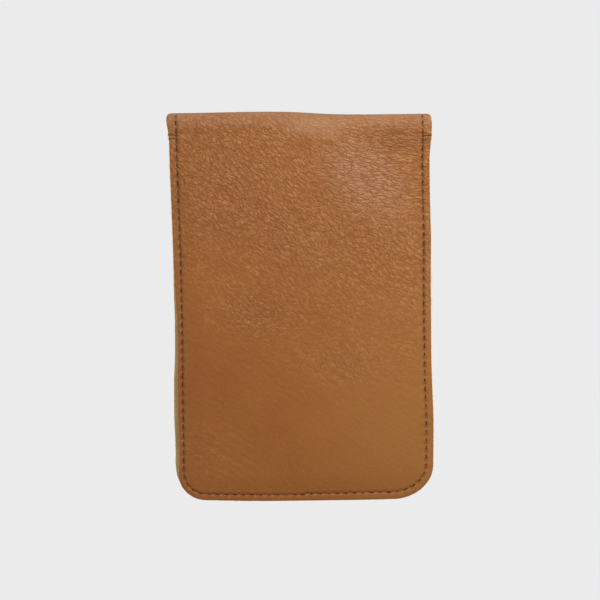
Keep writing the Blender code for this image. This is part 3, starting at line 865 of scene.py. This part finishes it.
def metal_material(name, bright, dull, brushing):
    """Antique brass: spun rings from the lathe, darker tarnish in patches, and fine scratches."""
    m = Shader(name, Metallic=1.0)
    place = m.node("TexCoord", {}).outputs["Object"]
    centred = m.vector("SUBTRACT", {0: place, 1: (SNAP_X * MM, 0, SNAP_Z * MM)})
    across, _, up = m.node("SeparateXYZ", {0: centred}).outputs
    away = m.math("SQRT", m.plus(m.times(across, across), m.times(up, up)))
    rings = m.noise(m.node("CombineXYZ", {0: away}).outputs[0], brushing / MM, 2.0, 0.6)
    tarnish = m.noise(place, 0.32 / MM, 4.0, 0.65)
    scratches = m.between(m.noise(m.mapped(place, (0.4, 0.4, 6.0), 0.4), 1.6 / MM), 0.62, 0.7)
    colour = m.mix(m.between(tarnish, 0.42, 0.72), bright, dull)
    colour = m.mix(m.times(scratches, 0.4), colour, (0.78, 0.62, 0.36, 1))
    rough = m.between(m.plus(tarnish, m.times(rings, 0.2)), 0.4, 0.9, 0.24, 0.52)
    return m.finish(colour, rough, m.math("SUBTRACT", rings, m.times(scratches, 0.5)), 0.012)


LEATHER_FACE = leather_material()
CUT_EDGE = cut_edge_material()
SUEDE = lining_material()
WOOL = felt_material()
THREAD = thread_material("waxed_brown_thread", (0.072, 0.017, 0.004, 1), (0.130, 0.040, 0.009, 1),
                         (0.200, 0.078, 0.024, 1))
# The back-tacks' thread: rubbed paler, and partly a painted sheen.
WORN_SHEENED_THREAD = thread_material("rubbed_sheened_thread", (0.165, 0.078, 0.042, 1), (0.245, 0.130, 0.076, 1),
                              (0.340, 0.215, 0.145, 1))
CAP_BRASS = metal_material("antique_brass_cap", (0.56, 0.38, 0.16, 1), (0.22, 0.13, 0.06, 1), 3.0)
INNER_BRASS = metal_material("antique_brass_inner", (0.50, 0.36, 0.17, 1), (0.17, 0.11, 0.06, 1), 5.0)


# ---- the leather ----

HIDE_COARSE = 3
SKIN = [LEATHER_FACE, CUT_EDGE]
SHARES = column_shares(HALF_WIDTH, 0.42, 0.95)
CORNER_TOP = CORNER_UP[1]
LOW_ROWS = corner_rows(CORNER_TOP, 46)[:-1]
HIDE_STEP = 0.62
FOLD_STEP = 0.2
FRONT_STEP = 0.68
BACK_ROWS = spread((CORNER_TOP, HIDE_STEP), (FOLD_Z, HIDE_STEP), (APEX - 1.6, FOLD_STEP), (APEX, FOLD_STEP))
BACK_ROWS = np.concatenate([LOW_ROWS, BACK_ROWS])
FLAP_LOW = HIDE_LENGTH - corner_rows(FLAP_CORNER, 34)[::-1]
FLAP_ROWS = spread((APEX, FOLD_STEP), (APEX + 1.6, HIDE_STEP), (FLAP_LOW[0], HIDE_STEP))
FLAP_ROWS = np.concatenate([FLAP_ROWS[:-1], FLAP_LOW])
FRONT_ROWS = np.concatenate([LOW_ROWS, spread((CORNER_TOP, FRONT_STEP), (MOUTH_Z, FRONT_STEP))])


def flat_grid(rows, shares, width, inset=0.0, turned=False):
    """(x, s) of a flat grid: each column's share of the half width on its side, at each row's s.
    A turned grid runs from right to left, so that its panel faces the other way."""
    rows = rows[:, None]
    x = shares * (width(np.maximum(rows, inset), shares[None, :]) - inset)
    return x[:, ::-1] if turned else x, np.broadcast_to(rows, x.shape).copy()


def leather_panel(name, grid, outline, place, relief, strength, joined_row=None):
    def outer(x, s):
        d, count = outline.near(x, s)
        return place(x, s, relief(x, s, d, count), d)

    def inner(x, s, share):
        return place(x, s, share * LEATHER, outline.near(x, s)[0])

    return panel(name, grid, outer, inner, SKIN, HIDE_COARSE, joined_row, strength=strength, outline=outline)


hide_back = leather_panel("hide_back", flat_grid(BACK_ROWS, SHARES, half_width), HIDE,
                          place_hide, hide_relief, grain_strength, len(BACK_ROWS) - 1)
hide_flap = leather_panel("hide_flap", flat_grid(FLAP_ROWS, SHARES, half_width), HIDE,
                          place_hide, hide_relief, grain_strength, 0)
hide_front = leather_panel("hide_front", flat_grid(FRONT_ROWS, SHARES, front_half_width, turned=True), FRONT,
                           place_front, front_relief, front_strength)


# ---- the lining and the felt ----

INNER_COARSE = 2
LINING_INSET = 0.5
LINING_DEPTH = LEATHER + GAP
INSIDE = LINING_DEPTH + LINING
LINING_RIM = 0.06
LINING_SHARES = column_shares(HALF_WIDTH, 1.2, 2.0)
WIDE_STEP = 1.4
BEND_STEP = 0.8
LINING_LOW = corner_rows(CORNER_TOP, 24)[:-1] + LINING_INSET
LINING_START = (CORNER_TOP + 1, WIDE_STEP)
BACK_LINING_ROWS = spread(LINING_START, (FOLD_Z - 8, BEND_STEP), (APEX, BEND_STEP))
BACK_LINING_ROWS = np.concatenate([LINING_LOW, BACK_LINING_ROWS])
FLAP_LINING_LOW = HIDE_LENGTH - LINING_INSET - corner_rows(FLAP_CORNER, 18)[::-1]
FLAP_LINING_ROWS = spread((APEX, BEND_STEP), (FLAP_START + 4, WIDE_STEP), (FLAP_LINING_LOW[0], WIDE_STEP))
FLAP_LINING_ROWS = np.concatenate([FLAP_LINING_ROWS[:-1], FLAP_LINING_LOW])
FRONT_LINING_ROWS = np.concatenate([LINING_LOW, spread(LINING_START, (MOUTH_Z - LINING_INSET, WIDE_STEP))])


def lining_panel(name, rows, width, outline, place, seed, turned, joined_row=None):
    """A thin, loosely glued lining, whose outer face is the napped one inside the case."""

    def face(x, s, share):
        """Share 0 is the face against the leather, and 1 the napped face inside the case."""
        d, _ = outline.near(x, s)
        uneven = 0.12 * lattice_noise(x, s, 8, seed) + 0.05 * lattice_noise(x, s, 2.6, seed + 1)
        return place(x, s, LINING_DEPTH + felt_room(d, s) + share * (LINING + 0.5 * uneven), d)

    grid = flat_grid(rows, LINING_SHARES, width, LINING_INSET, turned)
    return panel(name, grid, lambda x, s: face(x, s, 1.0), lambda x, s, share: face(x, s, 1.0 - share),
                 [SUEDE, SUEDE], INNER_COARSE, joined_row, LINING_RIM)


last_row = len(BACK_LINING_ROWS) - 1
lining_back = lining_panel("lining_back", BACK_LINING_ROWS, half_width, HIDE, place_hide, 41, True, last_row)
lining_flap = lining_panel("lining_flap", FLAP_LINING_ROWS, half_width, HIDE, place_hide, 41, True, 0)
lining_front = lining_panel("lining_front", FRONT_LINING_ROWS, front_half_width, FRONT, place_front, 43,
                            False)

FELT_BORDER = FELT_EDGE[0]
FELT_CORNER = 12
FELT_STEP = 3
FELT_RIM = 0.1
FELT_SHARES = column_shares(HALF_WIDTH, 1.6, FELT_STEP, border=8)
FELT_ROWS = np.concatenate([FELT_BORDER + corner_rows(FELT_CORNER, 12)[:-1],
                            spread((FELT_BORDER + FELT_CORNER, FELT_STEP), (FELT_TOP, FELT_STEP))])


def felt_panel(name, width, outline, place, turned):
    """Felt between a leather panel and its lining, thinning to nothing at its border."""

    def face(x, s, share):
        d, _ = outline.near(x, s)
        room = np.minimum(felt_room(d, s), FELT) + 0.1
        fibres = 0.06 * lattice_noise(x, s, 2.2, 61) * (room > 1)
        return place(x, s, LEATHER + GAP / 2 + share * (room + fibres), d)

    grid = flat_grid(FELT_ROWS, FELT_SHARES, width, FELT_BORDER, turned)
    return panel(name, grid, lambda x, s: face(x, s, 0.0), face, [WOOL, WOOL], INNER_COARSE, rim=FELT_RIM)


felt_back = felt_panel("felt_back", half_width, HIDE, place_hide, False)
felt_front = felt_panel("felt_front", front_half_width, FRONT, place_front, True)


# ---- the stitches ----

PLIES = 3
PLY_TURN = 2.1
PLY_OFF_CENTRE = 0.5 * THREAD_RADIUS
PLY_RADIUS = 0.58 * THREAD_RADIUS
STITCH_RINGS = 13
STITCH_PROUD = 0.08
HOLE_DEPTH = 1.05
STITCH_SLANT = 0.16


def stitch_paths(holes):
    """(flat x, flat s, depth) along each ply of each stitch, from needle hole to needle hole."""
    start = holes[:-1]
    step = holes[1:] - start
    length = np.linalg.norm(step, axis=1)
    along = step / length[:, None]
    across = np.stack([along[:, 1], -along[:, 0]], axis=1)
    t = np.linspace(0, 1, STITCH_RINGS)
    t = t + 0.055 * np.sin(2 * math.pi * t)
    dive = np.abs(2 * t - 1) ** 1.9
    rng = np.random.default_rng(len(holes))
    jitter = rng.normal(0, 0.05, (len(start), 2))
    pulled_in = rng.uniform(0, 0.22, len(start))[:, None]
    paths = []
    for ply in range(PLIES):
        turn = 2 * math.pi * (ply / PLIES + t[None, :] * length[:, None] / PLY_TURN + jitter[:, :1] * 3)
        side = PLY_OFF_CENTRE * np.cos(turn) + STITCH_SLANT * (2 * t[None, :] - 1) + jitter[:, 1:]
        depth = PLY_OFF_CENTRE * np.sin(turn) - STITCH_PROUD + pulled_in + dive * (HOLE_DEPTH + STITCH_PROUD)
        reach = 0.07 + 0.86 * t[None, :]
        flat = start[:, None, :] + step[:, None, :] * reach[..., None] + across[:, None, :] * side[..., None]
        paths.append(np.concatenate([flat, depth[..., None]], axis=2))
    return np.stack(paths, axis=1).reshape(-1, STITCH_RINGS, 3)


def sewn(name, holes, place, outline, base_depth=0.0):
    """Stitches along needle holes: in the outer face's groove or, with a base_depth, on the inner face."""
    flat = stitch_paths(holes)
    x, s, depth = flat[..., 0], flat[..., 1], flat[..., 2]
    d, _ = outline.near(x, s)
    sunk = base_depth - depth if base_depth else depth + SEAM_GROOVE
    points = place(x, s, sunk, d)
    outward = unit(place(x, s, sunk - 0.5, d) - points)
    return tubes(name, points, outward, PLY_RADIUS, THREAD)


def joined(name, parts):
    """The parts as one object with one mesh."""
    if len(parts) > 1:
        with bpy.context.temp_override(active_object=parts[0], selected_editable_objects=parts):
            bpy.ops.object.join()
    parts[0].name = name
    parts[0].data.name = name
    return parts[0]


def seam(name, outline, low, high, place, base_depth=0.0):
    """Stitches along each unbroken run of needle holes from s low to s high."""
    inside = np.flatnonzero((outline.holes[:, 1] >= low) & (outline.holes[:, 1] <= high))
    runs = np.split(outline.holes[inside], np.flatnonzero(np.diff(inside) > 1) + 1)
    runs = [run for run in runs if len(run) > 1]
    return joined(name, [sewn(f"{name}_{i}", run, place, outline, base_depth) for i, run in enumerate(runs)])


stitches_back = seam("stitches_back", HIDE, -1, APEX, place_hide)
stitches_flap = seam("stitches_flap", HIDE, APEX - PITCH, HIDE_LENGTH, place_hide)
stitches_front = seam("stitches_front", FRONT, -1, MOUTH_Z, place_front)
stitches_inside_back = seam("stitches_inside_back", HIDE, MOUTH_Z, APEX, place_hide, INSIDE)
stitches_inside_flap = seam("stitches_inside_flap", HIDE, APEX - PITCH, HIDE_LENGTH, place_hide, INSIDE)

MOUTH_END = HALF_WIDTH - SEAM_INSET - 2
mouth_holes = np.linspace(-MOUTH_END, MOUTH_END, int(2 * MOUTH_END / PITCH) + 1)
mouth_holes = np.stack([mouth_holes, np.full(len(mouth_holes), MOUTH_Z - SEAM_INSET)], axis=1)
stitches_mouth = sewn("stitches_mouth", mouth_holes, place_front, FRONT)
stitches_mouth_inside = sewn("stitches_mouth_inside", mouth_holes, place_front, FRONT, INSIDE)

# Each back-tack's turns of thread: how far below the mouth they lie, how far they stand out of the cut edge,
# and their way from the seam, round the edge and back: (share of the way, depth below the outer face).
TACK_TURNS = (0.9, 3.0)
TACK_OUT = {-1: 0.45, 1: 0.22}
TACK_DEPTHS = ((0, 0.7), (0.06, 0.06), (0.4, 0.1), (0.5, SEWN_EDGE / 2), (0.6, SEWN_EDGE),
               (0.94, SEWN_EDGE + 0.16), (1, SEWN_EDGE - 0.6))
TACK_OUTWARD = np.array([0.05, 0.1, 1.0])
TACK_TWISTS = 5
TACK_PLY_RADIUS = 0.62 * THREAD_RADIUS


def back_tack(name, side):
    """Two turns of thread round the sewn edge at the mouth, where the pulling is hardest."""
    parts = []
    t = np.linspace(0, 1, 33)
    deep = np.interp(t, *zip(*TACK_DEPTHS))
    for below in TACK_TURNS:
        height = MOUTH_Z - below
        edge = float(half_width(height, float(side)))
        seam_x = edge - float(seam_inset(height, float(side)))
        beside = edge + 0.05
        over = np.interp(t, [0, 0.42, 0.5, 0.58, 1], [seam_x, beside, edge + TACK_OUT[side], beside, seam_x])
        rows = height + 0.5 * (t - 0.5) + 0.08 * np.sin(9 * t)
        d, _ = HIDE.near(side * over, rows)
        spine = place_hide(side * over, rows, deep, d)
        paths = []
        for ply in range(PLIES):
            turn = 2 * math.pi * (ply / PLIES + TACK_TWISTS * t)
            paths.append(spine + PLY_OFF_CENTRE * np.stack([0 * t, np.sin(turn), np.cos(turn)], axis=1))
        part_name = f"{name}_{height:.0f}"
        parts.append(tubes(part_name, np.array(paths), TACK_OUTWARD, TACK_PLY_RADIUS, WORN_SHEENED_THREAD))
    return joined(name, parts)


tack_left = back_tack("back_tack_left", -1)
tack_right = back_tack("back_tack_right", 1)

# Where the cut edge has frayed most: beside the left back-tack, and halfway up the right side.
FRAYED = ((-HALF_WIDTH, MOUTH_Z - 2), (HALF_WIDTH, 104), (HALF_WIDTH, 117))
FRAY_REACH = 4
FRAY_WEIGHT = 16
LONGEST_FIBRE = 1.3
FIBRE_RADIUS = 0.035


def loose_fibres(name, outline, place, low, high, number, seed):
    """Loose fibres standing out of a cut edge, thickest where it has frayed."""
    rng = np.random.default_rng(seed)
    choice = np.flatnonzero((outline.points[:, 1] >= low) & (outline.points[:, 1] <= high))
    edge = outline.points[choice]
    frayed = sum(bump(np.hypot(edge[:, 0] - x, edge[:, 1] - s), FRAY_REACH) for x, s in FRAYED)
    weight = 1 + FRAY_WEIGHT * frayed
    picked = rng.choice(choice, number, p=weight / weight.sum())
    normal = outline.normals[picked][:, None, :]
    depth = rng.uniform(0.1, LEATHER - 0.1, number)[:, None]
    length = np.minimum(rng.gamma(2.0, 0.22, number), LONGEST_FIBRE)[:, None]
    lean = rng.normal(0, 0.8, (number, 2))
    t = np.linspace(0, 1, 5)
    tangent = np.stack([-normal[..., 1], normal[..., 0]], axis=-1)
    flat = outline.points[picked][:, None, :] + normal * (length * t)[..., None]
    flat = flat + tangent * (lean[:, :1] * length * t**2)[..., None]
    points = place(flat[..., 0], flat[..., 1], depth + lean[:, 1:] * 0.5 * length * t**2, 0.0)
    return tubes(name, points, np.array([0.1, -1.0, 0.2]), FIBRE_RADIUS, CUT_EDGE, sides=4, taper=0.8)


fibres_back = loose_fibres("fibres_back", HIDE, place_hide, 3, FOLD_Z - 4, 420, 3)
fibres_front = loose_fibres("fibres_front", FRONT, place_front, 3, MOUTH_Z - 2, 300, 4)


# ---- the press stud ----


def cap_profile():
    """A shallow pressed dome with a fine ring round it and an edge that is rolled under, as (radius, y)."""
    under, top = LOW["snap_cap"][1], HIGH["snap_cap"][1]
    wide = HIGH["snap_cap"][0] - SNAP_X
    seat = FLAP_FACE + 0.1
    dome = []
    for share in np.linspace(0, 0.86, 26):
        ring = 0.10 * bump(share - 0.74, 0.03)
        dome.append((wide * share, seat + (top - seat) * (1 - 0.62 * share**2.2) - ring))
    roll = (dome[-1][1] - seat) / 2
    for turn in np.radians(np.linspace(80, -90, 12)):
        dome.append((wide - roll + roll * math.cos(turn), seat + roll + roll * math.sin(turn)))
    return dome + [(wide * 0.8, seat - 0.02), (1.6, seat - 0.02), (1.5, under)]


points, faces, last_ring = revolve(cap_profile(), lambda across, up, y: (SNAP_X + across, y, SNAP_Z + up))
faces += [(here, after, len(points)) for here, after in zip(last_ring, last_ring[1:])]
points.append((SNAP_X, points[-1][1], SNAP_Z))
stud_cap = make_mesh("stud_cap", points, faces, [CAP_BRASS])
inner_stud = [frame["nodes"][name] for name in ("snap_socket", "snap_spring", "snap_stud", "snap_post")]
for shown in inner_stud:
    shown.data.materials.clear()
    shown.data.materials.append(INNER_BRASS)


# ---- what each piece rides on and stands for ----

# Each layer's back and flap pieces get their placement baked into their meshes; the inner face's radius listed
# with them is not read.
for inner, back_piece, flap_piece in ((RADIUS - LEATHER, hide_back, hide_flap),
                                      (RADIUS - LEATHER, stitches_back, stitches_flap),
                                      (RADIUS - INSIDE, lining_back, lining_flap),
                                      (RADIUS - INSIDE, stitches_inside_back, stitches_inside_flap)):
    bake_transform(back_piece)
    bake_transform(flap_piece)
for piece in (hide_front, lining_front, felt_back, felt_front, stitches_front, stitches_mouth,
              stitches_mouth_inside, tack_left, tack_right, fibres_back, fibres_front):
    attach(piece, "case")
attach(stud_cap, "flap")

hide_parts("back_panel", "fold_strip")
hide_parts("flap_panel")
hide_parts("front_panel")
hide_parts("back_lining", "fold_lining")
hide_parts("flap_lining")
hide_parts("front_lining")
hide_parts("back_padding")
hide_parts("front_padding")
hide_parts("back_seam_thread", "fold_thread_left", "fold_thread_right")
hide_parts("flap_seam_thread")
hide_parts("front_seam_thread")
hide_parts("back_bobbin_left", "back_bobbin_right", "fold_bobbin_left",
            "fold_bobbin_right")
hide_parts("flap_bobbin_thread")
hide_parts("mouth_thread")
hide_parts("mouth_bobbin")
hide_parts("back_tack_left")
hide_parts("back_tack_right")
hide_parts("snap_cap")


# ---- the floor, the light and the camera ----

# The floor, as (radius, height), curves up into a wall all round.
FLOOR_PROFILE = ((0, 0), (400, 0), (1200, 0), (1700, 90), (2050, 400), (2200, 900), (2200, 2600))
STAGE_GREY = 0.83
WORLD_STRENGTH = 0.40
CAMERA_DISTANCE = 875
CAMERA_X = -1.3
CAMERA_Z = 105.5
CAMERA_LENS = 100
CAMERA_ROLL = 0.7


def stage():
    """A pale floor and wall. Only the camera sees them, so they add no light of their own."""
    points, faces, _ = revolve(FLOOR_PROFILE, lambda across, up, height: (across, -up, height))
    m = Shader("pale_studio_floor", Roughness=1.0, Specular_IOR_Level=0.0, Emission_Strength=STAGE_GREY,
               Base_Color=(0.004, 0.004, 0.004, 1), Emission_Color=(1, 1, 1.003, 1))
    floor = make_mesh("studio_floor", points, faces, [m.material])
    floor.visible_diffuse = False
    floor.visible_glossy = False
    floor.visible_shadow = False


def lamp(name, place, aim, size, watts, tint=(1, 1, 1)):
    """A square softbox at place, turned to aim."""
    light = bpy.data.lights.new(name, "AREA")
    light.size = size * MM
    light.energy = watts
    light.color = tint
    made = bpy.data.objects.new(name, light)
    bpy.context.scene.collection.objects.link(made)
    made.location = [c * MM for c in place]
    direction = np.array(aim, float) - np.array(place, float)
    pitch = math.acos(-direction[2] / np.linalg.norm(direction))
    made.rotation_euler = (pitch, 0, math.atan2(direction[1], direction[0]) - math.pi / 2)


def light_room():
    world = bpy.data.worlds.new("studio")
    bpy.context.scene.world = world
    world.use_nodes = True
    background = world.node_tree.nodes["Background"]
    background.inputs["Color"].default_value = (0.97, 0.985, 1, 1)
    background.inputs["Strength"].default_value = WORLD_STRENGTH
    middle = (0, 0, 100)
    lamp("key", (220, -420, 470), (20, 0, 150), 170, 3.1, (1, 0.99, 0.965))
    lamp("top", (60, -200, 900), middle, 400, 0.75)
    lamp("fill", (-800, -400, 250), middle, 500, 1.6)
    lamp("rear", (-400, 640, 420), middle, 300, 2.6)


def place_camera():
    data = bpy.data.cameras.new("photo_view")
    data.lens = CAMERA_LENS
    camera = bpy.data.objects.new("photo_view", data)
    bpy.context.scene.collection.objects.link(camera)
    camera.location = (CAMERA_X * MM, (BACK_Y - CAMERA_DISTANCE) * MM, CAMERA_Z * MM)
    camera.rotation_euler = (math.pi / 2, math.radians(CAMERA_ROLL), 0)
    bpy.context.scene.camera = camera


stage()
light_room()
place_camera()
bpy.context.scene.view_settings.view_transform = "Standard"
